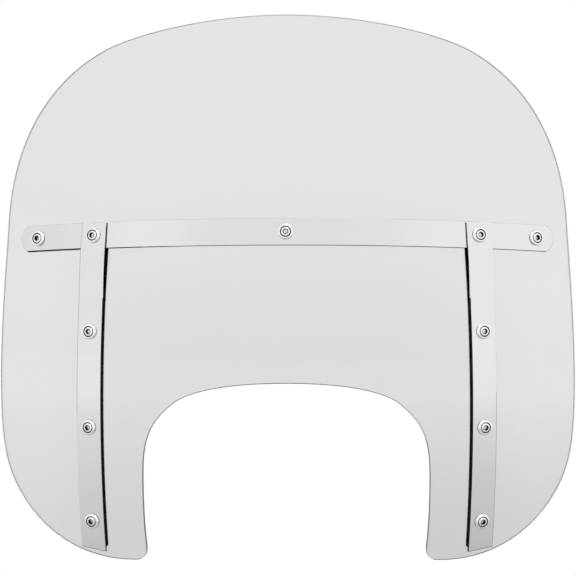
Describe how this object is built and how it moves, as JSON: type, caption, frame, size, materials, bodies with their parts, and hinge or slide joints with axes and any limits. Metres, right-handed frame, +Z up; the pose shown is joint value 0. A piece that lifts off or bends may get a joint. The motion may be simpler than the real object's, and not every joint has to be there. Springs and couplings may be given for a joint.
{
  "type": "motorcycle windshield screen",
  "caption": "Curved clear windshield with a headlight cutout, polished straps screwed across and down its front, and black backing plates behind.",
  "frame": {"origin": "centre of the whole assembly's bounding box", "axes": "+Z up as fitted, the convex front faces -Y and the rider sits on the +Y side, +X is to the right as seen from the front"},
  "size_m": [0.6, 0.1108, 0.5556],
  "materials": {
    "clear_sheet": "clear polycarbonate sheet, polished, with a faintly darker cut edge",
    "polished_steel": "polished stainless strip with a fine lengthwise grain",
    "chrome": "bright chrome plate",
    "black_steel": "satin black powder coat",
    "gasket_rubber": "matt black rubber",
    "nylon": "natural nylon"
  },
  "bodies": {
    "root": {"screen": "clear_sheet", "crossbar_strap": "polished_steel", "left_strap": "polished_steel", "left_backing_gasket": "gasket_rubber", "left_backing_plate": "black_steel", "right_strap": "polished_steel", "right_backing_gasket": "gasket_rubber", "right_backing_plate": "black_steel", "left_top_cup_washer": "chrome", "left_top_screw": "chrome", "left_top_bush": "nylon", "left_top_nut": "chrome", "left_upper_cup_washer": "chrome", "left_upper_screw": "chrome", "left_upper_bush": "nylon", "left_upper_nut": "chrome", "left_lower_cup_washer": "chrome", "left_lower_screw": "chrome", "left_lower_bush": "nylon", "left_lower_nut": "chrome", "left_bottom_cup_washer": "chrome", "left_bottom_screw": "chrome", "left_bottom_bush": "nylon", "left_bottom_nut": "chrome", "left_end_cup_washer": "chrome", "left_end_screw": "chrome", "left_end_bush": "nylon", "left_end_nut": "chrome", "left_end_back_washer": "gasket_rubber", "right_top_cup_washer": "chrome", "right_top_screw": "chrome", "right_top_bush": "nylon", "right_top_nut": "chrome", "right_upper_cup_washer": "chrome", "right_upper_screw": "chrome", "right_upper_bush": "nylon", "right_upper_nut": "chrome", "right_lower_cup_washer": "chrome", "right_lower_screw": "chrome", "right_lower_bush": "nylon", "right_lower_nut": "chrome", "right_bottom_cup_washer": "chrome", "right_bottom_screw": "chrome", "right_bottom_bush": "nylon", "right_bottom_nut": "chrome", "right_end_cup_washer": "chrome", "right_end_screw": "chrome", "right_end_bush": "nylon", "right_end_nut": "chrome", "right_end_back_washer": "gasket_rubber", "center_cup_washer": "chrome", "center_screw": "chrome", "center_bush": "nylon", "center_nut": "chrome", "center_back_washer": "gasket_rubber"}
  },
  "joints": []
}
